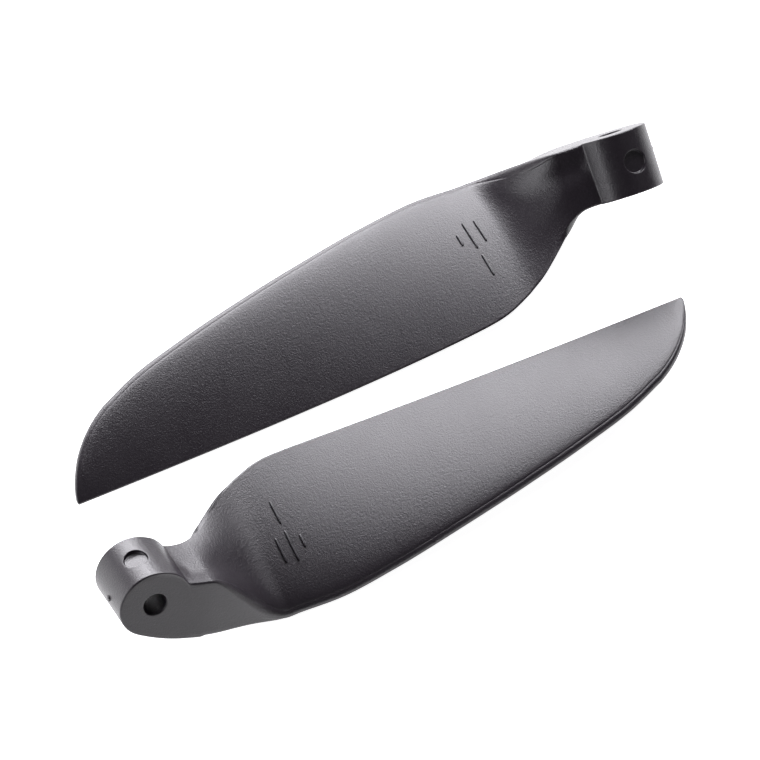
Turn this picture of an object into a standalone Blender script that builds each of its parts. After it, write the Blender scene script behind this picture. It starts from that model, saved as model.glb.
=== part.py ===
"""Two loose blades of a folding propeller for a model glider, lying on a flat surface.

Each blade is one moulding: a round knuckle with a bore for the fold pin, a short arm, and a
twisted blade.  A blade is first built in its own frame, then turned to the pose in which it
lies on the surface.

Blade frame: origin on the fold pin's axis, +X along the span towards the tip, +Y along the pin
towards the trailing edge, +Z out of the rear face.  Row frame: +Z up, the surface at z = 0, the
origin midway between the two blades.
"""
import math

import bmesh
import bpy
import numpy as np
from mathutils import Matrix, Vector

MM = 0.001

# Knuckle
KNUCKLE_RADIUS = 3.63 * MM
KNUCKLE_WIDTH = 6.37 * MM
KNUCKLE_EDGE = 0.15 * MM
BORE_RADIUS = 1.2 * MM
RECESS_RADIUS = 1.2 * MM
RECESS_DEPTH = 0.45 * MM
GATE_RADIUS = 0.3 * MM
GATE_HEIGHT = 0.2 * MM
GATE_TURN = math.radians(170)     # round the pin's axis from the span's direction
GATE_ACROSS = -0.4 * MM

# Arm, from the knuckle to the blade's root
ARM_STEP = 0.05 * MM          # the arm's sides lie this far inside the knuckle's end faces
ARM_EDGE = 0.35 * MM
ARM_TOP_TRAILING = 1.06 * MM  # height of the arm's upper edges where they leave the knuckle
ARM_TOP_LEADING = 0.76 * MM
ARM_TOP_FALL_TRAILING = 0.34
ARM_TOP_FALL_LEADING = 0.39
ARM_UNDER_ANGLE = math.radians(40.5)  # lower edge leaves the knuckle as a tangent at this slope
ARM_UNDER_CURVE = 45.8                # how fast that slope eases, per metre
ARM_HEEL_CURVE = 40.0                 # lower trailing edge rises with this curvature, per metre
HOLLOW_DEPTH = 0.3 * MM               # hollow along the arm's upper face beside its leading edge
# Shares of the arm's length over which each corner turns into the blade's: upper trailing,
# upper leading, lower leading, lower trailing
BLENDS = [(0.12, 1.02), (0.24, 0.92), (-0.15, 0.80), (-0.10, 1.00)]
EDGE_SWELL = 1.2 * MM         # the upper leading edge rounds out by this much midway in its turn

# Blade
DISC_RADIUS = 82.5 * MM        # pin to tip plus the pin's distance from the shaft
PIN_RADIUS = 18.25 * MM        # fold pin's distance from the propeller shaft
PITCH = 152.4 * MM             # advance per turn, which sets the twist
ROOT_STATION = 14.0 * MM       # the full blade section starts here
PLANE_OFFSET = 4.55 * MM       # the twist axis lies this far ahead of the knuckle's middle
PLANE_DROP = 10.60 * MM        # and this far in front of the pin
NOSE_RADIUS = 0.55 * MM
TAIL_RADIUS = 0.15 * MM
ROOT_BULGE = 1.1 * MM          # extra thickness of the front face at the root and at the tip
TIP_BULGE = 0.25 * MM
CAMBER = 0.11                  # swell of the rear face, as a share of the chord
TIP_LENGTH = 6.5 * MM          # the leading edge turns in over this length
TIP_CHORD = 0.35 * MM
TIP_SWEEP = 18.98 * MM         # the tip's distance from the twist axis

# Leading edge: share of the span from root station to the start of the tip, and the distance
# of the nose's centre from the twist axis
LEADING_EDGE = [(0.00, 3.20 * MM), (0.10, 2.98 * MM), (0.24, 3.54 * MM), (0.42, 4.79 * MM),
                (0.60, 6.28 * MM), (0.78, 8.08 * MM), (0.91, 9.71 * MM), (1.00, 11.38 * MM)]
TRAILING_SLOPE = 0.015         # the trailing edge runs out this much for each unit of span
SHOULDER_CUT = 1.28 * MM       # its root corner is rounded in by this much
SHOULDER_LENGTH = 3.2 * MM

# Placing of the two blades on the surface
PAIR_STAGGER = 1.40 * MM       # the pins lie this much less than a span apart, along it
PAIR_NEST = 2.07 * MM          # and across it this much less than both blades' depth from the pin
UPPER_TURN = math.radians(181.47)
LOWER_TURN = 0.0
REST_ROLL = math.radians(-28.06)  # roll about the span, and lift of the tip
REST_LIFT = math.radians(-6.19)

# Mesh density
KNUCKLE_STEPS = 13
ARM_STEPS = 9
BLADE_STEPS = 17
TIP_STEPS = 6
CORNER_POINTS = 4
FACE_POINTS = 11
SIDE_POINTS = 2
ROUND_SIDES = 32

SPAN = DISC_RADIUS - PIN_RADIUS
TIP_START = SPAN - TIP_LENGTH
HALF_WIDTH = KNUCKLE_WIDTH / 2
ARM_HALF = HALF_WIDTH - ARM_STEP
CREASE = math.sqrt(KNUCKLE_RADIUS ** 2 - ARM_TOP_TRAILING ** 2)
UNDER_START = -KNUCKLE_RADIUS * math.sin(ARM_UNDER_ANGLE)
PIN_TO_PIN = (SPAN - PAIR_STAGGER, 2.0 * (TIP_SWEEP - PLANE_OFFSET) - PAIR_NEST)

BLACK_NYLON = (0.035, 0.034, 0.037)


def clear_scene():
    for item in list(bpy.data.objects):
        bpy.data.objects.remove(item, do_unlink=True)


def ease(x, low, high):
    """Rise smoothly from 0 at low to 1 at high."""
    t = min(max((x - low) / (high - low), 0.0), 1.0)
    return t * t * (3.0 - 2.0 * t)


def twist(x):
    """Blade angle that gives the pitch at this distance from the pin."""
    return math.atan2(PITCH / (2.0 * math.pi), PIN_RADIUS + x)


def leading_distance(x):
    """Distance of the nose's centre from the twist axis."""
    share = (x - ROOT_STATION) / (TIP_START - ROOT_STATION)
    shares = [row[0] for row in LEADING_EDGE]
    rows = [row[1] for row in LEADING_EDGE]
    if x <= TIP_START:
        return smooth_table(share, shares, rows)
    turn = min((x - TIP_START) / TIP_LENGTH, 1.0)
    end = TIP_SWEEP - TIP_CHORD
    slope = 0.55 * TIP_LENGTH
    rise = end - rows[-1] - slope
    return rows[-1] + slope * turn + rise * (1.0 - (1.0 - turn ** 2.4) ** 0.75)


def smooth_table(value, places, rows):
    """Cubic interpolation through a short table, with slopes from its neighbours."""
    value = min(max(value, places[0]), places[-1])
    slopes = np.gradient(np.array(rows), np.array(places))
    i = min(int(np.searchsorted(places, value, side="right")) - 1, len(places) - 2)
    width = places[i + 1] - places[i]
    t = (value - places[i]) / width
    start, stop = rows[i], rows[i + 1]
    rise_in, rise_out = slopes[i] * width, slopes[i + 1] * width
    cubic = 2.0 * start - 2.0 * stop + rise_in + rise_out
    square = 3.0 * stop - 3.0 * start - 2.0 * rise_in - rise_out
    return ((cubic * t + square) * t + rise_in) * t + start


def trailing_distance(x):
    """Distance of the trailing edge from the twist axis."""
    straight = TIP_SWEEP - TRAILING_SLOPE * (SPAN - x)
    inward = max(x - ROOT_STATION + SHOULDER_LENGTH / 2, 0.0) / SHOULDER_LENGTH
    return straight - SHOULDER_CUT * math.exp(-inward * inward)


def blade_corners(x):
    """The four outer corners of the blade section, with their radii and the front's bulge."""
    angle = twist(x)
    chord = np.array([math.cos(angle), math.sin(angle)])
    normal = np.array([-math.sin(angle), math.cos(angle)])
    axis = np.array([-PLANE_OFFSET, -PLANE_DROP])
    lead, trail = leading_distance(x), trailing_distance(x)
    nose = min(NOSE_RADIUS, 0.12 * (trail - lead) + TAIL_RADIUS)
    front = axis + chord * (lead - nose)
    back = axis + chord * (trail + TAIL_RADIUS)
    corners = [back + normal * TAIL_RADIUS, front + normal * nose,
               front - normal * nose, back - normal * TAIL_RADIUS]
    share = min(max((x - ROOT_STATION) / (SPAN - ROOT_STATION), 0.0), 1.0)
    bulge = (ROOT_BULGE + (TIP_BULGE - ROOT_BULGE) * share) * min((trail - lead) / (6 * MM), 1.0)
    return np.array(corners), [TAIL_RADIUS, nose, nose, TAIL_RADIUS], bulge


def knuckle_height(x):
    return math.sqrt(max(KNUCKLE_RADIUS ** 2 - x ** 2, 0.0))


def under_leading(x):
    """Lower leading edge: round the knuckle, then on along its tangent."""
    if x <= UNDER_START:
        return -knuckle_height(x)
    run = x - UNDER_START
    return (-KNUCKLE_RADIUS * math.cos(ARM_UNDER_ANGLE) - math.tan(ARM_UNDER_ANGLE) * run
            + ARM_UNDER_CURVE * run * run)


def under_trailing(x):
    """Lower trailing edge: round the knuckle to its lowest point, then rising."""
    if x <= 0:
        return -knuckle_height(x)
    return -KNUCKLE_RADIUS + ARM_HEEL_CURVE * x * x


def arm_corners(x):
    """The four corners of the knuckle or arm section at x."""
    half = HALF_WIDTH if x <= CREASE else ARM_HALF
    edge = KNUCKLE_EDGE if x <= CREASE else ARM_EDGE
    top_back = top_front = knuckle_height(x)
    if x > CREASE:
        top_back = ARM_TOP_TRAILING - ARM_TOP_FALL_TRAILING * (x - CREASE)
        top_front = ARM_TOP_LEADING - ARM_TOP_FALL_LEADING * (x - CREASE)
    low_front, low_back = under_leading(x), under_trailing(x)
    corners = [(half, top_back), (-half, top_front), (-half, low_front), (half, low_back)]
    return np.array(corners), [edge] * 4


def blend_spans():
    """Where each corner leaves the arm's line and joins the blade's: start and end stations."""
    arm = ROOT_STATION - CREASE
    return [(CREASE + start * arm, CREASE + stop * arm) for start, stop in BLENDS]


def fillet(before, corner, after, radius):
    """Points of the arc that rounds a corner, from the side of before to that of after."""
    a = before - corner
    b = after - corner
    length_a, length_b = np.linalg.norm(a), np.linalg.norm(b)
    a, b = a / length_a, b / length_b
    half = math.acos(min(max(float(a @ b), -1.0), 1.0)) / 2
    reach = min(radius / math.tan(half), 0.5 * length_a, 0.5 * length_b)
    radius = reach * math.tan(half)
    middle = corner + (a + b) / np.linalg.norm(a + b) * (radius / math.sin(half))
    start, stop = corner + a * reach - middle, corner + b * reach - middle
    sweep = math.pi - 2 * half
    points = []
    for i in range(CORNER_POINTS):
        t = i / (CORNER_POINTS - 1)
        weights = math.sin((1 - t) * sweep), math.sin(t * sweep)
        points.append(middle + (weights[0] * start + weights[1] * stop) / math.sin(sweep))
    return points


def section(x):
    """Closed loop of points in the plane at x, from the trailing edge over the rear face."""
    arm, arm_radii = arm_corners(x)
    blade, blade_radii, bulge = blade_corners(x)
    shares = [ease(x, low, high) for low, high in blend_spans()]
    corners = [arm[i] + (blade[i] - arm[i]) * shares[i] for i in range(4)]
    radii = [arm_radii[i] + (blade_radii[i] - arm_radii[i]) * shares[i] for i in range(4)]
    radii[1] += EDGE_SWELL * 4.0 * shares[1] * (1.0 - shares[1])
    arcs = [fillet(corners[i - 1], corners[i], corners[(i + 1) % 4], radii[i]) for i in range(4)]
    hollow = HOLLOW_DEPTH * ease(x, CREASE, CREASE + 1.2 * MM)
    hollow *= 1.0 - ease(x, CREASE + 2.5 * MM, ROOT_STATION)
    loop = []
    for i in range(4):
        loop += arcs[i]
        start, stop = arcs[i][-1], arcs[(i + 1) % 4][0]
        count = SIDE_POINTS if i % 2 else FACE_POINTS
        outward = np.array([(stop - start)[1], -(stop - start)[0]])
        outward /= np.linalg.norm(outward) + 1e-12
        for j in range(1, count + 1):
            t = (1 - math.cos(math.pi * j / (count + 1))) / 2
            point = start + (stop - start) * t
            if i == 0:
                swell = CAMBER * float(np.linalg.norm(stop - start)) * (1 - t) ** 0.6 * t * shares[1]
                point = point + outward * swell
                point = point - outward * hollow * math.exp(-((t - 0.7) / 0.2) ** 2)
            if i == 2:
                crown = 4.0 * t ** 0.8 * (1 - t) * bulge * shares[3]
                point = point + outward * crown
            loop.append(point)
    return [(x, float(p[0]), float(p[1])) for p in loop]


def stations():
    """Places along the span at which a section is laid down."""
    first = math.acos(CREASE / KNUCKLE_RADIUS)
    turns = [math.pi - (math.pi - first) * (i + 0.25) / KNUCKLE_STEPS for i in range(KNUCKLE_STEPS)]
    places = [KNUCKLE_RADIUS * math.cos(turn) for turn in turns]
    gap = 0.02 * MM
    places += [CREASE - gap, CREASE + gap]
    arm = ROOT_STATION - CREASE
    places += [CREASE + arm * i / ARM_STEPS for i in range(1, ARM_STEPS)]
    blade = TIP_START - ROOT_STATION
    places += [ROOT_STATION + blade * i / BLADE_STEPS for i in range(BLADE_STEPS)]
    places += [TIP_START + TIP_LENGTH * math.sin(math.pi / 2 * i / TIP_STEPS)
               for i in range(TIP_STEPS + 1)]
    return places


def blade_body():
    """Skin the sections from the knuckle's free side to the tip and cap both ends."""
    mesh = bmesh.new()
    loops = []
    for x in stations():
        loops.append([mesh.verts.new(point) for point in section(x)])
    count = len(loops[0])
    for near, far in zip(loops, loops[1:]):
        for j in range(count):
            k = (j + 1) % count
            mesh.faces.new((near[j], near[k], far[k], far[j]))
    mesh.faces.new(loops[0][::-1])
    mesh.faces.new(loops[-1])
    bmesh.ops.recalc_face_normals(mesh, faces=mesh.faces)
    bmesh.ops.triangulate(mesh, faces=mesh.faces)
    return mesh


def cylinder(name, radius, length, place, direction):
    """Cutter or stud: a round prism centred on place, its axis along direction."""
    mesh = bmesh.new()
    turn = Vector((0, 0, 1)).rotation_difference(Vector(direction)).to_matrix().to_4x4()
    bmesh.ops.create_cone(mesh, cap_ends=True, segments=ROUND_SIDES, radius1=radius,
                          radius2=radius, depth=length, matrix=Matrix.Translation(place) @ turn)
    return guide(name, mesh)


def guide(name, mesh):
    data = bpy.data.meshes.new(name)
    mesh.to_mesh(data)
    mesh.free()
    item = bpy.data.objects.new(name, data)
    bpy.context.scene.collection.objects.link(item)
    item.hide_render = True
    item.display_type = "WIRE"
    return item


def moulding_tools():
    """The bore, the blind recess on the knuckle's rear side and the gate's stub."""
    through = KNUCKLE_WIDTH + 2 * MM
    bore = cylinder("bore_cutter", BORE_RADIUS, through, (0, 0, 0), (0, 1, 0))
    top = KNUCKLE_RADIUS + 1 * MM
    floor = KNUCKLE_RADIUS - RECESS_DEPTH
    recess = cylinder("recess_cutter", RECESS_RADIUS, top - floor,
                      (0, 0, (top + floor) / 2), (0, 0, 1))
    stub = 2 * GATE_HEIGHT + 0.4 * MM
    out = KNUCKLE_RADIUS + GATE_HEIGHT - stub / 2
    along, up = math.cos(GATE_TURN), math.sin(GATE_TURN)
    gate = cylinder("gate_stub", GATE_RADIUS, stub, (out * along, GATE_ACROSS, out * up),
                    (along, 0, up))
    return [("DIFFERENCE", bore), ("DIFFERENCE", recess), ("UNION", gate)]


def nylon(name):
    material = bpy.data.materials.new(name)
    material.use_nodes = True
    shader = material.node_tree.nodes["Principled BSDF"]
    shader.inputs["Base Color"].default_value = (*BLACK_NYLON, 1.0)
    shader.inputs["Roughness"].default_value = 0.5
    shader.inputs["Metallic"].default_value = 0.0
    return material


def place_blade(name, mesh, pose, pin, turn, tools, centre):
    """One blade object: the shared body cut by the tools, then turned and set on the surface."""
    data = bpy.data.meshes.new(name)
    mesh.to_mesh(data)
    data.shade_smooth()
    data.set_sharp_from_angle(angle=math.radians(35))
    data.materials.append(nylon(name + "_nylon"))
    item = bpy.data.objects.new(name, data)
    bpy.context.scene.collection.objects.link(item)
    rotation = Matrix.Rotation(turn, 3, "Z") @ pose
    lowest = min((rotation @ v.co).z for v in mesh.verts)
    matrix = Matrix.Translation((*pin, -lowest)) @ rotation.to_4x4()
    item.parent = centre
    item.matrix_local = matrix
    for operation, tool in tools:
        copy = bpy.data.objects.new(name + "_" + tool.name, tool.data)
        bpy.context.scene.collection.objects.link(copy)
        copy.hide_render = True
        copy.display_type = "WIRE"
        copy.parent = centre
        copy.matrix_local = matrix
        cut = item.modifiers.new(tool.name, "BOOLEAN")
        cut.operation = operation
        cut.object = copy
        cut.solver = "EXACT"
    return item


def centre_pair(blades, centre):
    """Move the pair so that its box is centred on the origin, still on the surface."""
    bpy.context.view_layer.update()
    graph = bpy.context.evaluated_depsgraph_get()
    points = []
    for blade in blades:
        solid = blade.evaluated_get(graph)
        points += [solid.matrix_world @ v.co for v in solid.data.vertices]
    for axis in (0, 1):
        values = [point[axis] for point in points]
        centre.location[axis] = -(min(values) + max(values)) / 2


def main():
    clear_scene()
    body = blade_body()
    pose = Matrix.Rotation(REST_ROLL, 3, "X") @ Matrix.Rotation(REST_LIFT, 3, "Y")
    tools = moulding_tools()
    centre = bpy.data.objects.new("pair_centre", None)
    bpy.context.scene.collection.objects.link(centre)
    upper = place_blade("upper_blade", body, pose, PIN_TO_PIN, UPPER_TURN, tools, centre)
    lower = place_blade("lower_blade", body, pose, (0.0, 0.0), LOWER_TURN, tools, centre)
    centre_pair([upper, lower], centre)
    body.free()


main()
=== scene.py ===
import math

import bmesh
import bpy
import numpy as np
from mathutils import Matrix, Vector


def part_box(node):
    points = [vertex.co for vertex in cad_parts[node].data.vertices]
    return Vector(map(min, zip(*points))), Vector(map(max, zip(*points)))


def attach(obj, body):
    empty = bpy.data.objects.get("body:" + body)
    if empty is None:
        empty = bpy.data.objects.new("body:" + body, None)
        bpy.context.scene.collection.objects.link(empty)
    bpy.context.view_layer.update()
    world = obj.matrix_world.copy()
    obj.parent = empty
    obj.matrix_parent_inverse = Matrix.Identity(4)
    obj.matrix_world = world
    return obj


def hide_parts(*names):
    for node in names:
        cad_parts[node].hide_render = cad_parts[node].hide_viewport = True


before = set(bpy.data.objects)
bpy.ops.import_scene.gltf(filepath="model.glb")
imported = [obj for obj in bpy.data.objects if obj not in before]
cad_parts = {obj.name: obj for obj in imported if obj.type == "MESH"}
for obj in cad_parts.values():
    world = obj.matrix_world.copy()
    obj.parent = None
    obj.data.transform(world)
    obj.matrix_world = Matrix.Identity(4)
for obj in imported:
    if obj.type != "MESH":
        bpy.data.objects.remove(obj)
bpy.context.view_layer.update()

mm = 0.001

# Sizes of the moulding are in mm.  Blade frame: the fold pin's axis is the y axis, x runs along
# the span to the tip, y towards the trailing edge and z out of the rear face, the one that shows.
# A pair named Span is where along x a change begins and where it is complete.
knuckle = {
    "radius": 3.63,
    "width": 6.37,
    "edge": 0.15,                    # rounding between the rim and an end face
    "bore": 1.2,                     # radius of the hole for the fold pin
    "boreRim": 0.12,
    "recess": 1.2,                   # radius of the blind hole in the rear side
    "recessDepth": 0.45,
    "recessRim": 0.07,
    "recessFoot": 0.15,
    "gateRadius": 0.3,
    "gateHeight": 0.2,
    "gateSunk": 0.05,
    "gateTurn": math.radians(170),   # from the span, about the pin
    "gateAcross": -0.4,
}
arm = {
    "step": 0.05,                    # the end faces stand this far proud of the arm's sides
    "upperStepSpan": (3.5, 3.9),
    "lowerStepSpan": (0, 5),
    "stepHeights": (-0.9, -0.2),     # the step fades out between these heights
    "stepFadeSpan": (5.0, 5.6),
    "stepSoftness": 0.05,
    "endFaceSpan": (2.2, 6.5),       # the flat end face fades into the arm's side
    "edge": 0.3,
    "edgeSpan": (3.5, 4.2),
    "hump": 1.2,                     # extra rounding of the leading top edge, halfway along
    "topFrom": 2.0,                  # the top edges leave the circle beyond this x
    "topTrailing": 1.06,             # height of each top edge at the crease, and its fall per mm
    "topLeading": 0.76,
    "fallTrailing": 0.34,
    "fallLeading": 0.39,
    "underAngle": math.radians(40.5),
    "underCurve": 0.0458,
    "heelCurve": 0.040,
    "hollow": 0.3,
    "hollowMiddle": 0.7,             # as a share of the width from the trailing edge
    "hollowWidth": 0.2,
    "creaseFillet": 0.9,
    "filletSpan": (1.5, 3.2),
    # where each corner starts and stops turning into the blade's, as shares of the arm's length
    "blends": [(0.12, 1.02), (0.24, 0.92), (-0.15, 0.80), (-0.10, 1.00)],
}
blade = {
    "span": 64.25,
    "pinRadius": 18.25,              # from the propeller's shaft to the fold pin
    "pitch": 152.4,
    "rootStation": 14.0,             # the full section starts here
    "axisAhead": 4.55,               # twist axis, ahead of the pin's middle and below it
    "axisDrop": 10.60,
    "nose": 0.55,
    "tail": 0.15,
    "rootBulge": 1.1,
    "tipBulge": 0.25,
    "camber": 0.11,
    "tipLength": 6.5,
    "tipChord": 0.35,
    "tipSweep": 18.98,
    "tipCap": [(1.0, 0), (0.8, 0.05), (0.45, 0.08), (0.0, 0.09)],   # scale and rise of each ring
    "trailingSlope": 0.015,
    "shoulderCut": 1.28,
    "shoulderLength": 3.2,
    "partingLine": 0.04,
    "partingWidth": 0.04,            # as a share of the rows down the edge
    "partingSpan": (9, 12),
    # leading edge: share of the way to the tip's curve, and distance from the twist axis
    "leading": [(0.00, 3.20), (0.10, 2.98), (0.24, 3.54), (0.42, 4.79),
                (0.60, 6.28), (0.78, 8.08), (0.91, 9.71), (1.00, 11.38)],
}
# rows of faces across each side of the loft, along it, and round the holes
mesh = {
    "top": 110, "bottom": 50, "sideArc": 8, "sideFlat": 18, "evenSpan": (8, 13),
    "knuckle": 56, "crease": 20, "creaseEnd": 4.2, "arm": 84, "blade": 120, "tip": 40,
    "openHalf": 2.0, "openInset": 3, "openMargin": 0.65,
    "rounding": 5, "boreSpread": 8, "boreWall": 14,
    "recessSpread": 9, "recessWall": 6, "recessFloor": (0.75, 0.5, 0.25, 0.0), "gate": 32,
}

crease = math.sqrt(knuckle["radius"] ** 2 - arm["topTrailing"] ** 2)
underStart = -knuckle["radius"] * math.sin(arm["underAngle"])
tipStart = blade["span"] - blade["tipLength"]
half = knuckle["width"] / 2


def ease(x, low, high):
    # 0 below low, 1 above high, and a smooth cubic step between
    t = np.clip((x - low) / (high - low), 0, 1)
    return t * t * (3 - 2 * t)


def smoothTable(value, places, rows):
    # piecewise cubic through the rows, with each slope taken from the row's neighbours
    places, rows = np.array(places), np.array(rows)
    value = np.clip(value, places[0], places[-1])
    slopes = np.gradient(rows, places)
    i = np.clip(np.searchsorted(places, value, side="right") - 1, 0, len(places) - 2)
    width = places[i + 1] - places[i]
    t = (value - places[i]) / width
    a, b = rows[i], rows[i + 1]
    u, v = slopes[i] * width, slopes[i + 1] * width
    return (((2 * a - 2 * b + u + v) * t + 3 * b - 3 * a - 2 * u - v) * t + u) * t + a


def twist(x):
    # the blade angle that advances one pitch a turn: arctangent of pitch / (2 pi radius)
    return np.arctan2(blade["pitch"] / (2 * math.pi), blade["pinRadius"] + x)


def leadingDistance(x):
    # table along the straight stretch, then a power curve that turns in to the tip
    places = [row[0] for row in blade["leading"]]
    rows = [row[1] for row in blade["leading"]]
    straight = smoothTable((x - blade["rootStation"]) / (tipStart - blade["rootStation"]),
                           places, rows)
    turn = np.clip((x - tipStart) / blade["tipLength"], 0, 1)
    slope = 0.55 * blade["tipLength"]
    rise = blade["tipSweep"] - blade["tipChord"] - rows[-1] - slope
    return straight + slope * turn + rise * (1 - (1 - turn ** 2.4) ** 0.75)


def trailingDistance(x):
    # a straight line that runs out towards the tip, less a bell at the root's shoulder
    straight = blade["tipSweep"] - blade["trailingSlope"] * (blade["span"] - x)
    inward = np.maximum(x - blade["rootStation"] + blade["shoulderLength"] / 2, 0)
    return straight - blade["shoulderCut"] * np.exp(-(inward / blade["shoulderLength"]) ** 2)


def bladeCorners(x):
    # corners of the aerofoil's rounded quadrilateral: trailing top, leading top, and below
    angle = twist(x)
    chord = np.stack([np.cos(angle), np.sin(angle)], -1)
    normal = np.stack([-np.sin(angle), np.cos(angle)], -1)
    axis = np.array([-blade["axisAhead"], -blade["axisDrop"]])
    lead, trail = leadingDistance(x), trailingDistance(x)
    nose = np.minimum(blade["nose"], 0.12 * (trail - lead) + blade["tail"])
    tail = np.full_like(nose, blade["tail"])
    front = axis + chord * (lead - nose)[:, None]
    back = axis + chord * (trail + tail)[:, None]
    up, down = normal * nose[:, None], normal * tail[:, None]
    corners = np.stack([back + down, front + up, front - up, back - down], 1)
    share = np.clip((x - blade["rootStation"]) / (blade["span"] - blade["rootStation"]), 0, 1)
    bulge = blade["rootBulge"] + (blade["tipBulge"] - blade["rootBulge"]) * share
    bulge = bulge * np.clip((trail - lead) / 6, 0, 1)
    return corners, np.stack([tail, nose, nose, tail], 1), bulge


def knuckleHeight(x):
    # height of the knuckle's circle at x: root of radius squared less x squared
    return np.sqrt(np.maximum(knuckle["radius"] ** 2 - x ** 2, 0))


def smoothMax(a, b, width):
    # the larger of two heights, with the corner between them filled to about this width
    return (a + b + np.sqrt((a - b) ** 2 + width ** 2)) / 2


def armCorners(x):
    # corners of the knuckle and arm: the circle, until the arm's top and underside leave it
    r = knuckle["radius"]
    steep = 20
    circle = np.where(x < r, knuckleHeight(x), -steep * (x - r))
    fillet = arm["creaseFillet"] * ease(x, *arm["filletSpan"])
    run = np.maximum(x, arm["topFrom"]) - crease
    topBack = smoothMax(circle, arm["topTrailing"] - arm["fallTrailing"] * run, fillet)
    topFront = smoothMax(circle, arm["topLeading"] - arm["fallLeading"] * run, fillet)
    topBack = np.where(x < arm["topFrom"], circle, topBack)
    topFront = np.where(x < arm["topFrom"], circle, topFront)
    run = x - underStart
    tangent = (-r * math.cos(arm["underAngle"]) - math.tan(arm["underAngle"]) * run
               + arm["underCurve"] * run * run)
    lowFront = np.where(run <= 0, -knuckleHeight(x), tangent)
    lowBack = np.where(x <= 0, -knuckleHeight(x), -r + arm["heelCurve"] * x * x)
    upperHalf = half - arm["step"] * ease(x, *arm["upperStepSpan"])
    lowerHalf = half - arm["step"] * ease(x, *arm["lowerStepSpan"])
    corners = np.stack([np.stack([upperHalf, topBack], -1), np.stack([-upperHalf, topFront], -1),
                        np.stack([-lowerHalf, lowFront], -1), np.stack([lowerHalf, lowBack], -1)], 1)
    edge = knuckle["edge"] + (arm["edge"] - knuckle["edge"]) * ease(x, *arm["edgeSpan"])
    return corners, np.repeat(edge[:, None], 4, 1)


def blendSpans():
    # where each corner leaves the arm's line and joins the blade's
    length = blade["rootStation"] - crease
    return [(crease + start * length, crease + stop * length) for start, stop in arm["blends"]]


def cornerArc(before, corner, after, radius):
    # the arc that rounds a corner: middle, the two radii from it, angle swept and length
    a, b = before - corner, after - corner
    lengthA = np.maximum(np.linalg.norm(a, axis=1), 1e-6)
    lengthB = np.maximum(np.linalg.norm(b, axis=1), 1e-6)
    a, b = a / lengthA[:, None], b / lengthB[:, None]
    halfAngle = np.arccos(np.clip((a * b).sum(1), -0.9999, 0.9999)) / 2
    reach = np.minimum(radius / np.tan(halfAngle), np.minimum(lengthA, lengthB) / 2)
    radius = reach * np.tan(halfAngle)
    both = (a + b) / np.maximum(np.linalg.norm(a + b, axis=1), 1e-9)[:, None]
    middle = corner + both * (radius / np.sin(halfAngle))[:, None]
    start = corner + a * reach[:, None] - middle
    stop = corner + b * reach[:, None] - middle
    sweep = math.pi - 2 * halfAngle
    return {"middle": middle, "start": start, "stop": stop, "sweep": sweep,
            "length": radius * sweep}


def arcPoints(arc, t):
    # spherical interpolation between the arc's two radii
    sweep = arc["sweep"][:, None]
    first = (np.sin((1 - t) * sweep) / np.sin(sweep))[..., None]
    second = (np.sin(t * sweep) / np.sin(sweep))[..., None]
    return arc["middle"][:, None] + first * arc["start"][:, None] + second * arc["stop"][:, None]


def rimPoints(x, t, sign, top):
    # the knuckle's turned edge in the plane at x: a quarter round in radius and width
    r, edge = knuckle["radius"], knuckle["edge"]
    most = np.arccos(np.clip((np.abs(x) - (r - edge)) / edge, 0, 1))[:, None]
    angle = most * t
    radius = r - edge + edge * np.cos(angle)
    height = np.sqrt(np.maximum(radius ** 2 - x[:, None] ** 2, 0))
    return np.stack([sign * (half - edge + edge * np.sin(angle)), height if top else -height], -1)


def sideIndex():
    # number of each row down a side, the rows in its first arc and how many rows there are
    n = mesh["sideArc"]
    rows = 2 * n + mesh["sideFlat"]
    return np.arange(rows + 1), n, rows


def arcsAndFlat(x, first, second):
    # arc, flat and arc down one side; rows gather at the arcs on the arm and are even on the blade
    j, n, rows = sideIndex()
    flatRows = mesh["sideFlat"]
    flatStart, flatStop = first["middle"] + first["stop"], second["middle"] + second["start"]
    flat = np.linalg.norm(flatStop - flatStart, axis=1)
    lengths = [first["length"][:, None], flat[:, None], second["length"][:, None]]
    gathered = (lengths[0] * np.clip(j / n, 0, 1)
                + lengths[1] * np.clip((j - n) / flatRows, 0, 1)
                + lengths[2] * np.clip((j - n - flatRows) / n, 0, 1))
    even = sum(lengths) * j / rows
    share = ease(x, *mesh["evenSpan"])[:, None]
    s = gathered + (even - gathered) * share
    tA = np.clip(s / lengths[0], 0, 1)
    tB = np.clip((s - lengths[0] - lengths[1]) / lengths[2], 0, 1)
    tFlat = np.clip((s - lengths[0]) / np.maximum(lengths[1], 1e-9), 0, 1)
    arcA, arcB = arcPoints(first, tA), arcPoints(second, tB)
    line = flatStart[:, None] + (flatStop - flatStart)[:, None] * tFlat[..., None]
    inA, inB = s < lengths[0], s > lengths[0] + lengths[1]
    points = np.where(inA[..., None], arcA, np.where(inB[..., None], arcB, line))
    return points, flatStart[:, 1], flatStop[:, 1]


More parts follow.
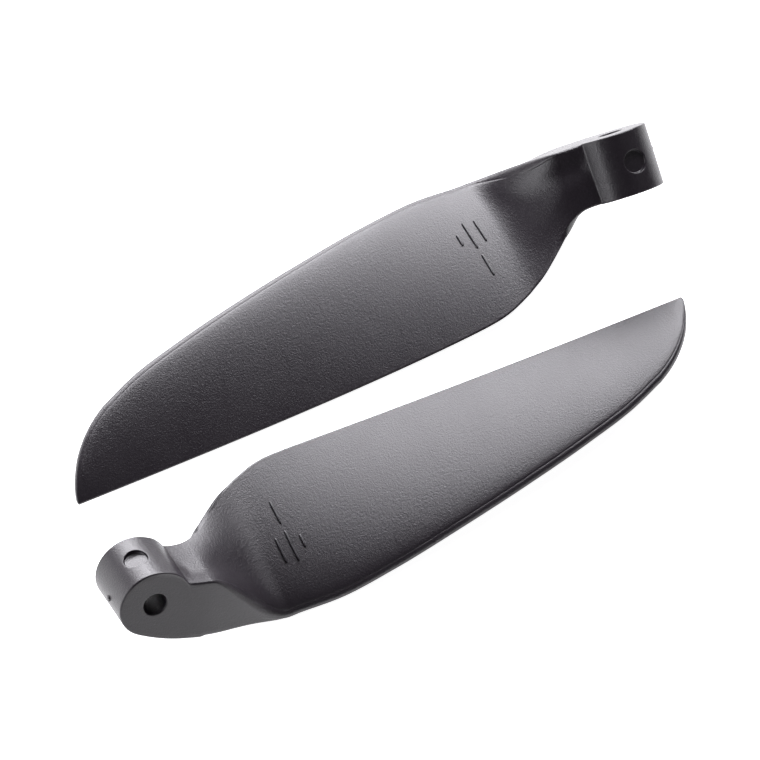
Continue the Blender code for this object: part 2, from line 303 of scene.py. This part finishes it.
def turnKnuckle(points, x, flatHeights, sign, firstIsTop):
    # the free half of the knuckle is turned, so its rims and end face follow the circle exactly
    j, n, rows = sideIndex()
    t = np.clip(j / n, 0, 1)[None, :]
    back = np.clip((rows - j) / n, 0, 1)[None, :]
    topT, lowT = (t, back) if firstIsTop else (back, t)
    topRim, lowRim = rimPoints(x, topT, sign, True), rimPoints(x, lowT, sign, False)
    down = np.clip((j - n) / mesh["sideFlat"], 0, 1)
    down = down if firstIsTop else 1 - down
    turnedTop, turnedLow = x <= 0, x <= underStart
    isTop = (j < n) if firstIsTop else (j > rows - n)
    isLow = (j > rows - n) if firstIsTop else (j < n)
    isFlat = ~(isTop | isLow)
    points = np.where((turnedTop[:, None] & isTop[None, :])[..., None], topRim, points)
    points = np.where((turnedLow[:, None] & isLow[None, :])[..., None], lowRim, points)
    r = knuckle["radius"] - knuckle["edge"]
    flatTop, flatLow = flatHeights if firstIsTop else flatHeights[::-1]
    innerTop = np.where(turnedTop, np.sqrt(np.maximum(r * r - x * x, 0)), flatTop)
    innerLow = np.where(turnedLow, -np.sqrt(np.maximum(r * r - x * x, 0)), flatLow)
    height = innerTop[:, None] + (innerLow - innerTop)[:, None] * down
    width = np.abs(rimPoints(x, np.ones((1, 1)), sign, True)[:, :, 0]) * sign
    turnedFlat = np.stack([np.broadcast_to(width, height.shape), height], -1)
    points = np.where((turnedTop[:, None] & isFlat[None, :])[..., None], turnedFlat, points)
    return points, isFlat


def levelEndFace(points, x, isFlat, sign):
    # the knuckle's end face stands a hair proud of the arm's side
    radius = np.hypot(x[:, None], points[..., 1])
    soft = arm["stepSoftness"]
    edgeOfDisc = ease(radius, knuckle["radius"] - soft, knuckle["radius"] + soft)
    fade = ease(points[..., 1], *arm["stepHeights"]) * (1 - ease(x, *arm["stepFadeSpan"]))[:, None]
    under = ease(x, *arm["lowerStepSpan"])[:, None]
    level = half - arm["step"] * np.maximum(edgeOfDisc * fade, under)
    flatness = ((x > 0) * (1 - ease(x, *arm["endFaceSpan"])))[:, None] * isFlat[None, :]
    points[..., 0] += (sign * level - points[..., 0]) * flatness


def partingRidge(points, x):
    # a low bell-shaped parting line runs round the blade's edge, pushed out from the middle
    j, _, rows = sideIndex()
    ridge = blade["partingLine"] * np.exp(-((j / rows - 0.5) / blade["partingWidth"]) ** 2)[None, :]
    ridge = ridge * ease(x, *blade["partingSpan"])[:, None]
    middle = (points[:, :1] + points[:, -1:]) / 2
    outward = points[:, rows // 2:rows // 2 + 1] - middle
    outward = outward / np.maximum(np.linalg.norm(outward, axis=-1, keepdims=True), 1e-9)
    return points + outward * ridge[..., None]


def sidePath(x, first, second, sign, firstIsTop):
    # one side of every section: arcs and flat, then the knuckle's turned half and the parting line
    points, *flatHeights = arcsAndFlat(x, first, second)
    points, isFlat = turnKnuckle(points, x, flatHeights, sign, firstIsTop)
    levelEndFace(points, x, isFlat, sign)
    return partingRidge(points, x)


def facePath(start, stop, rows):
    # points across a face from one edge to the other, closer together near both edges
    t = (1 - np.cos(math.pi * np.arange(rows + 1) / rows)) / 2
    return start[:, None] + (stop - start)[:, None] * t[None, :, None], t


def sectionGrid(x):
    # closed loops of points at the stations x, from the trailing edge over the rear face
    armAt, armRadii = armCorners(x)
    bladeAt, bladeRadii, bulge = bladeCorners(x)
    shares = np.stack([ease(x, low, high) for low, high in blendSpans()], 1)
    corners = armAt + (bladeAt - armAt) * shares[..., None]
    radii = armRadii + (bladeRadii - armRadii) * shares
    swell = shares[:, 1] * (1 - shares[:, 1]) * 4
    radii[:, 1] += arm["hump"] * swell
    arcs = [cornerArc(corners[:, i - 1], corners[:, i], corners[:, (i + 1) % 4], radii[:, i])
            for i in range(4)]
    lead = sidePath(x, arcs[1], arcs[2], -1, True)
    trail = sidePath(x, arcs[3], arcs[0], 1, False)
    top, t = facePath(trail[:, -1], lead[:, 0], mesh["top"])
    hollow = arm["hollow"] * ease(x, crease, crease + 1.2)
    hollow = hollow * (1 - ease(x, crease + 2.5, blade["rootStation"]))
    across = lead[:, 0] - trail[:, -1]
    chord = np.maximum(np.linalg.norm(across, axis=1), 1e-9)[:, None]
    across = across / chord
    outward = np.stack([across[:, 1], -across[:, 0]], -1)
    top = top + outward[:, None] * (camber(1 - t, chord) * shares[:, 1:2])[..., None]
    bell = np.exp(-((t - arm["hollowMiddle"]) / arm["hollowWidth"]) ** 2)[None, :]
    dip = hollow[:, None] * bell * np.sin(math.pi * t) ** 0.25
    top = top - outward[:, None] * dip[..., None]
    low, t = facePath(lead[:, -1], trail[:, 0], mesh["bottom"])
    across = trail[:, 0] - lead[:, -1]
    across = across / np.maximum(np.linalg.norm(across, axis=1), 1e-9)[:, None]
    outward = np.stack([across[:, 1], -across[:, 0]], -1)
    crown = 4 * t ** 0.8 * (1 - t) * (bulge * shares[:, 3])[:, None]
    low = low + outward[:, None] * crown[..., None]
    loop = np.concatenate([top[:, :-1], lead[:, :-1], low[:, :-1], trail[:, :-1]], 1)
    return np.concatenate([np.broadcast_to(x[:, None, None], loop.shape[:2] + (1,)), loop], 2)


def camber(t, chord):
    # swell of the rear face at share t of the chord from the leading edge
    return blade["camber"] * chord * t ** 0.6 * (1 - t)


def stations():
    # even angles round the knuckle, fine steps over the crease, then along the arm and blade
    first = math.acos(crease / knuckle["radius"])
    turned = knuckle["radius"] * np.cos(np.linspace(math.pi, first, mesh["knuckle"]))
    parts = [turned, np.linspace(crease, mesh["creaseEnd"], mesh["crease"])[1:],
             np.linspace(mesh["creaseEnd"], blade["rootStation"], mesh["arm"])[1:],
             np.linspace(blade["rootStation"], tipStart, mesh["blade"])[1:],
             tipStart + blade["tipLength"] * np.sin(np.linspace(0, math.pi / 2, mesh["tip"]))[1:]]
    return np.concatenate(parts)


def loopRound(iLow, iHigh, jLow, jHigh):
    # indices round a block of the grid, starting at its first corner
    step = 1 if jHigh > jLow else -1
    i = list(range(iLow, iHigh)) + [iHigh] * abs(jHigh - jLow)
    i += list(range(iHigh, iLow, -1)) + [iLow] * abs(jHigh - jLow)
    j = [jLow] * (iHigh - iLow) + list(range(jLow, jHigh, step))
    j += [jHigh] * (iHigh - iLow) + list(range(jHigh, jLow, -step))
    return np.array(i), np.array(j)


class Patchwork:
    # collects grids of points and their quads, which are welded at the end
    def __init__(self):
        self.points, self.faces, self.count = [], [], 0

    def grid(self, points, closed, keep=None):
        # a quad between each four neighbours, and round from the last column when it is closed
        n, m = points.shape[:2]
        ids = self.count + np.arange(n * m).reshape(n, m)
        if closed:
            ids = np.concatenate([ids, ids[:, :1]], 1)
        quads = np.stack([ids[:-1, :-1], ids[:-1, 1:], ids[1:, 1:], ids[1:, :-1]], -1)
        quads = quads.reshape(-1, 4) if keep is None else quads[keep]
        self.points.append(points.reshape(-1, 3))
        self.faces.append(quads)
        self.count += n * m

    def build(self, name):
        # one mesh in metres, with its seams welded and its faces turned outwards
        data = bpy.data.meshes.new(name)
        points = np.concatenate(self.points) * mm
        data.from_pydata(points.tolist(), [], np.concatenate(self.faces).tolist())
        work = bmesh.new()
        work.from_mesh(data)
        bmesh.ops.remove_doubles(work, verts=work.verts, dist=2e-6)
        bmesh.ops.dissolve_degenerate(work, edges=work.edges, dist=1e-7)
        bmesh.ops.recalc_face_normals(work, faces=work.faces)
        work.to_mesh(data)
        work.free()
        return data


def bladeShell(patches):
    # the lofted skin, with blocks left open for the bore and the recess
    x = stations()
    grid = sectionGrid(x)
    rows = grid.shape[1]
    keep = np.ones((len(x) - 1, rows), bool)
    leadStart = mesh["top"]
    leadFlat = leadStart + mesh["sideArc"]
    trailStart = leadStart + 2 * mesh["sideArc"] + mesh["sideFlat"] + mesh["bottom"]
    i0, i1 = np.searchsorted(x, [-mesh["openHalf"], mesh["openHalf"]])
    inset = mesh["openInset"]
    leadRows = (leadFlat + inset, leadFlat + mesh["sideFlat"] - inset)
    trailFlat = trailStart + mesh["sideArc"]
    trailRows = (trailFlat + mesh["sideFlat"] - inset, trailFlat + inset)
    y = grid[i0, :leadStart, 1]
    reach = knuckle["recess"] + mesh["openMargin"]
    t0, t1 = (int(np.searchsorted(-y, side)) for side in (-reach, reach))
    for low, high in (leadRows, trailRows[::-1], (t0, t1)):
        keep[i0:i1, low:high] = False
    patches.grid(grid, True, keep)
    boreHole(patches, grid, loopRound(i0, i1, *leadRows), loopRound(i0, i1, *trailRows))
    recessHole(patches, grid, loopRound(i0, i1, t0, t1))
    # the tip closes in three shrinking rings
    last = grid[-1]
    centre = last.mean(0)
    rings = [centre + (last - centre) * s + np.array([dx, 0, 0]) for s, dx in blade["tipCap"]]
    patches.grid(np.array(rings), True)


def boreHole(patches, grid, lead, trail):
    # from each end face: rings that pass from the block's edge to the circle, then the rim
    sides = []
    loops = [grid[lead], grid[trail]]
    angles = [np.unwrap(np.arctan2(loop[:, 2], loop[:, 0])) for loop in loops]
    angle = (angles[0] + angles[1]) / 2
    circle = np.stack([np.cos(angle), np.zeros(len(angle)), np.sin(angle)], 1)
    r, rim = knuckle["bore"], knuckle["boreRim"]
    for loop, sign in zip(loops, (-1, 1)):
        outer = circle * (r + rim) + np.array([0, sign * half, 0])
        spread = np.linspace(0, 1, mesh["boreSpread"])
        rings = [loop] + [loop + (outer - loop) * ease(s, -0.2, 1.0) for s in spread[1:]]
        for s in np.linspace(0, math.pi / 2, mesh["rounding"])[1:]:
            rings.append(circle * (r + rim - rim * math.sin(s))
                         + np.array([0, sign * (half - rim + rim * math.cos(s)), 0]))
        sides.append(np.array(rings))
        patches.grid(sides[-1], True)
    wall = [sides[0][-1] + (sides[1][-1] - sides[0][-1]) * s
            for s in np.linspace(0, 1, mesh["boreWall"])]
    patches.grid(np.array(wall), True)


def recessHole(patches, grid, block):
    # the blind hole in the knuckle's rear side: skin to rim, wall, rounded foot and floor
    loop = grid[block]
    angle = np.unwrap(np.arctan2(loop[:, 1], loop[:, 0]))
    r, rim, foot = knuckle["recess"], knuckle["recessRim"], knuckle["recessFoot"]
    floor = knuckle["radius"] - knuckle["recessDepth"]

    def ring(radius, height=None, drop=0.0):
        # a circle laid on the knuckle's skin less the drop, or at one height
        flat = np.stack([np.cos(angle), np.sin(angle)], 1) * radius
        z = knuckleHeight(flat[:, 0]) - drop if height is None else np.full(len(flat), height)
        return np.column_stack([flat, z])

    edge = ring(r + rim)
    rings = [loop]
    for s in np.linspace(0, 1, mesh["recessSpread"])[1:]:
        at = loop + (edge - loop) * s
        at[:, 2] = knuckleHeight(at[:, 0])
        rings.append(at)
    for s in np.linspace(0, math.pi / 2, mesh["rounding"])[1:]:
        rings.append(ring(r + rim - rim * math.sin(s), drop=rim * (1 - math.cos(s))))
    wallTop = rings[-1].copy()
    for s in np.linspace(0, 1, mesh["recessWall"])[1:]:
        at = wallTop.copy()
        at[:, 2] = wallTop[:, 2] + (floor + foot - wallTop[:, 2]) * s
        rings.append(at)
    for s in np.linspace(0, math.pi / 2, mesh["rounding"])[1:]:
        rings.append(ring(r - foot + foot * math.cos(s), height=floor + foot - foot * math.sin(s)))
    for s in mesh["recessFloor"]:
        rings.append(ring((r - foot) * s, height=floor))
    patches.grid(np.array(rings), True)


def gateStub(patches):
    # the broken-off gate: a short stud with a ragged end, sunk into the knuckle's free side
    angle = np.linspace(0, 2 * math.pi, mesh["gate"] + 1)[:-1]
    ragged = 1 + 0.12 * np.sin(3 * angle + 0.6) + 0.08 * np.sin(5 * angle)   # two ripples
    turn = knuckle["gateTurn"]
    outward = np.array([math.cos(turn), 0, math.sin(turn)])
    upward = np.array([math.sin(turn), 0, -math.cos(turn)])
    # spread and rise of each ring, as shares of the radius and the height
    profile = [(0.0, -0.5), (1.0, -0.5), (1.0, 0.0), (0.97, 0.6),
               (0.85, 0.92), (0.5, 1.0), (0.0, 0.8)]
    rings = []
    for spread, rise in profile:
        radius = (knuckle["gateRadius"] * spread * ragged)[:, None]
        middle = outward * (knuckle["radius"] - knuckle["gateSunk"]
                            + knuckle["gateHeight"] * rise)
        middle[1] = knuckle["gateAcross"]
        rings.append(middle + radius * (np.sin(angle)[:, None] * upward
                                        + np.cos(angle)[:, None] * np.array([0, 1, 0])))
    patches.grid(np.array(rings), True)


# plain parallel raised bars near the root
marks = {
    "height": 0.15,
    "sunk": 0.1,
    "width": 0.26,
    "turn": math.radians(90),        # from the span towards the trailing edge
    # middle of each bar as distances along the span and from the twist axis, then its length
    "bars": [((15.95, 8.85), 3.3), ((14.75, 8.80), 2.7), ((17.15, 8.90), 1.4),
             ((15.95, 12.60), 2.6)],
}


def rearFace(x, q):
    # point and normal of the blade's rear face at span x and distance q from the twist axis
    corners = bladeCorners(x.ravel())[0]
    angle = twist(x.ravel())
    chord = np.stack([np.cos(angle), np.sin(angle)], -1)
    normal = np.stack([-np.sin(angle), np.cos(angle)], -1)
    lead, trail = corners[:, 1], corners[:, 0]
    axis = np.array([-blade["axisAhead"], -blade["axisDrop"]])
    along = ((trail - lead) * chord).sum(1)
    t = (q.ravel() - ((lead - axis) * chord).sum(1)) / along
    point = lead + (trail - lead) * t[:, None] + normal * camber(t, along)[:, None]
    at = np.column_stack([x.ravel(), point]).reshape(x.shape + (3,))
    up = np.column_stack([np.zeros(x.size), normal]).reshape(x.shape + (3,))
    return at, up


def power(value, exponent):
    # the size of the value raised to the exponent, with the value's own sign
    return np.sign(value) * np.abs(value) ** exponent


def markBars(patches):
    # each bar is a superellipsoid pressed into the face, with its closed underside sunk
    u = np.linspace(0, 2 * math.pi, 29)[:-1]
    v = np.linspace(-math.pi / 2, math.pi / 2, 17)
    cu, su = power(np.cos(u), 0.5), power(np.sin(u), 0.8)
    cv, sv = power(np.cos(v), 0.35), power(np.sin(v), 0.7)
    a = marks["turn"]
    for (x, q), length in marks["bars"]:
        long = length / 2 * sv[:, None] + 0 * cu
        wide = marks["width"] / 2 * cv[:, None] * cu
        rise = marks["height"] * cv[:, None] * su
        rise = np.where(rise < 0, rise * marks["sunk"] / marks["height"], rise)
        at, up = rearFace(x + long * math.cos(a) - wide * math.sin(a),
                          q + long * math.sin(a) + wide * math.cos(a))
        patches.grid(at + up * rise[..., None], True)


# how both blades lie on the surface, and how far each one is turned on it
rest = {
    "roll": math.radians(-28.06),
    "lift": math.radians(-6.19),
    "turns": {"upper_blade": math.radians(181.47), "lower_blade": 0.0},
}


def placeBlade(name, data):
    # turn the moulding to its resting pose and set it where its plain solid lies
    pose = Matrix.Rotation(rest["turns"][name], 4, "Z")
    pose = pose @ Matrix.Rotation(rest["roll"], 4, "X") @ Matrix.Rotation(rest["lift"], 4, "Y")
    data = data.copy()
    data.name = name + "_moulding"
    data.transform(pose)
    points = np.empty(len(data.vertices) * 3, np.float32)
    data.vertices.foreach_get("co", points)
    points = points.reshape(-1, 3)
    low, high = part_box(name)
    middle = [(low[k] + high[k]) / 2 - (points[:, k].min() + points[:, k].max()) / 2
              for k in (0, 1)]
    data.transform(Matrix.Translation((*middle, low.z - points[:, 2].min())))
    data.shade_smooth()
    piece = bpy.data.objects.new(name + "_moulding", data)
    bpy.context.scene.collection.objects.link(piece)
    return piece


class Socket:
    # a shader value that builds a Math node when it is added or multiplied
    def __init__(self, graph, socket):
        self.graph, self.socket = graph, socket

    def math(self, operation, other, swapped=False):
        values = (other, self) if swapped else (self, other)
        return self.graph.node("ShaderNodeMath", {"operation": operation}, values)

    def __add__(self, other):
        return self.math("ADD", other)

    def __radd__(self, other):
        return self.math("ADD", other, True)

    def __mul__(self, other):
        return self.math("MULTIPLY", other)

    def __rmul__(self, other):
        return self.math("MULTIPLY", other, True)


class Graph:
    # one material's nodes; node() adds any of them from its settings and socket values
    def __init__(self, name):
        self.material = bpy.data.materials.new(name)
        self.material.use_nodes = True
        self.tree = self.material.node_tree
        self.shader = self.tree.nodes["Principled BSDF"]

    def node(self, kind, settings=(), values=(), output=0):
        item = self.tree.nodes.new(kind)
        for key, value in dict(settings).items():
            setattr(item, key, value)
        pairs = values.items() if isinstance(values, dict) else enumerate(values)
        for key, value in pairs:
            self.feed(item.inputs[key], value)
        return Socket(self, item.outputs[output])

    def feed(self, target, value):
        if isinstance(value, Socket):
            self.tree.links.new(value.socket, target)
        else:
            target.default_value = value


nylon = {
    "colour": (0.0095, 0.0065, 0.0100, 1.0),
    "paler": (0.016, 0.013, 0.017, 1.0),
    "roughness": 0.34,
    "roughnessChange": 0.1,
    "grain": 0.20,                   # mm across one grain of the spark-eroded finish
    "fineGrain": 0.08,
    "grainDepth": 0.9,
    "bumpHeight": 0.05,
    "cloud": 6.0,                    # mm across the slow changes of sheen
}


def nylonMaterial(name):
    # black nylon: grain in the bump, slow clouds in the colour and the roughness
    g = Graph(name)
    place = g.node("ShaderNodeTexCoord", output="Object")
    grain = g.node("ShaderNodeTexNoise", {"noise_dimensions": "3D"},
                   {"Vector": place, "Scale": 1 / (nylon["grain"] * mm), "Detail": 2.0,
                    "Roughness": 0.55})
    fine = g.node("ShaderNodeTexNoise", {"noise_dimensions": "3D"},
                  {"Vector": place, "Scale": 1 / (nylon["fineGrain"] * mm), "Detail": 1.0,
                   "Roughness": 0.5})
    cloud = g.node("ShaderNodeTexNoise", {"noise_dimensions": "3D"},
                   {"Vector": place, "Scale": 1 / (nylon["cloud"] * mm), "Detail": 3.0,
                    "Roughness": 0.5})
    height = grain * 0.55 + fine * 0.45
    bump = g.node("ShaderNodeBump", {},
                  {"Strength": nylon["grainDepth"], "Distance": nylon["bumpHeight"] * mm,
                   "Height": height})
    speckle = cloud * 0.6 + grain * 0.4
    colour = g.node("ShaderNodeMix", {"data_type": "RGBA"},
                    {"Factor": speckle, "A": nylon["colour"], "B": nylon["paler"]}, "Result")
    g.feed(g.shader.inputs["Base Color"], colour)
    lowest = nylon["roughness"] - nylon["roughnessChange"] / 2
    g.feed(g.shader.inputs["Roughness"], lowest + cloud * nylon["roughnessChange"])
    g.feed(g.shader.inputs["Normal"], bump)
    return g.material


studio = {
    "floor": (0.86, 0.86, 0.86, 1.0),
    "floorHalf": 3.0,
    "floorGlow": 0.92,
    "dome": 0.06,
    "tint": (1.0, 0.99, 1.035),
    # azimuth and elevation of the light in degrees, distance, width and height in m, radiance
    "lights": {
        "backKey": (66, 37, 0.60, 0.34, 0.42, 11.5),
        "rightKey": (38, 40, 0.60, 0.30, 0.36, 5.5),
        "lowBack": (88, 13, 0.60, 0.40, 0.24, 15.0),
        "leftFill": (178, 20, 0.60, 0.30, 0.30, 7.0),
        "frontFill": (-60, 30, 0.60, 0.30, 0.30, 0.5),
    },
    "target": (1.075 * mm, 2.025 * mm, 0.0),
    "towardsCamera": (-0.2896, -0.3672, 0.8839),
    "imageRight": (0.9093, -0.3939, 0.1343),
    "distance": 0.662,
    "lens": 317.2,
    "sensor": 36.0,
}


def areaLight(name, azimuth, elevation, distance, width, height, radiance):
    # a softbox that faces the origin; its power is radiance times pi times its area
    light = bpy.data.lights.new(name, "AREA")
    light.shape = "RECTANGLE"
    light.color = studio["tint"]
    light.size = width
    light.size_y = height
    light.energy = radiance * math.pi * width * height
    item = bpy.data.objects.new(name, light)
    a, e = math.radians(azimuth), math.radians(elevation)
    towards = Vector((math.cos(a) * math.cos(e), math.sin(a) * math.cos(e), math.sin(e)))
    item.location = towards * distance
    item.rotation_euler = towards.to_track_quat("Z", "Y").to_euler()
    bpy.context.scene.collection.objects.link(item)


def makeStudio():
    # a pale floor that glows a little, a dim dome and softboxes
    size = studio["floorHalf"]
    data = bpy.data.meshes.new("floor")
    data.from_pydata([(-size, -size, 0), (size, -size, 0), (size, size, 0), (-size, size, 0)],
                     [], [(0, 1, 2, 3)])
    floor = bpy.data.objects.new("floor", data)
    bpy.context.scene.collection.objects.link(floor)
    g = Graph("pale_floor")
    g.feed(g.shader.inputs["Base Color"], studio["floor"])
    g.feed(g.shader.inputs["Roughness"], 0.9)
    g.feed(g.shader.inputs["Specular IOR Level"], 0.0)
    g.feed(g.shader.inputs["Emission Color"], (1.0, 1.0, 1.0, 1.0))
    g.feed(g.shader.inputs["Emission Strength"], studio["floorGlow"])
    data.materials.append(g.material)
    world = bpy.data.worlds.new("dome")
    world.use_nodes = True
    background = world.node_tree.nodes["Background"]
    background.inputs["Color"].default_value = (1.0, 1.0, 1.0, 1.0)
    background.inputs["Strength"].default_value = studio["dome"]
    bpy.context.scene.world = world
    for name, values in studio["lights"].items():
        areaLight(name, *values)
    bpy.context.scene.view_settings.view_transform = "Standard"


def makeCamera():
    # looks at the target; up is the cross product of the way back and the image's right
    data = bpy.data.cameras.new("camera")
    data.lens = studio["lens"]
    data.sensor_width = studio["sensor"]
    item = bpy.data.objects.new("camera", data)
    back = Vector(studio["towardsCamera"]).normalized()
    right = Vector(studio["imageRight"])
    right = (right - back * right.dot(back)).normalized()
    up = back.cross(right)
    place = Vector(studio["target"]) + back * studio["distance"]
    item.matrix_world = Matrix.Translation(place) @ Matrix((right, up, back)).transposed().to_4x4()
    data.clip_start = 0.01
    bpy.context.scene.collection.objects.link(item)
    bpy.context.scene.camera = item


patches = Patchwork()
bladeShell(patches)
print("shell, bore and recess:", patches.count, "points")
gateStub(patches)
print("gate stub:", patches.count, "points so far")
markBars(patches)
print("raised bars:", len(marks["bars"]))
bladeData = patches.build("blade")
print("blade mesh:", len(bladeData.vertices), "vertices", len(bladeData.polygons), "faces")
for name in ("upper_blade", "lower_blade"):
    piece = placeBlade(name, bladeData)
    slotName = "nylon_" + name.split("_")[0]
    piece.data.materials.append(nylonMaterial(slotName))
    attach(piece, name)
    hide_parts(name)
    print(name, "placed, in", slotName)
makeStudio()
print("studio:", len(studio["lights"]), "lights")
makeCamera()
print("camera placed")
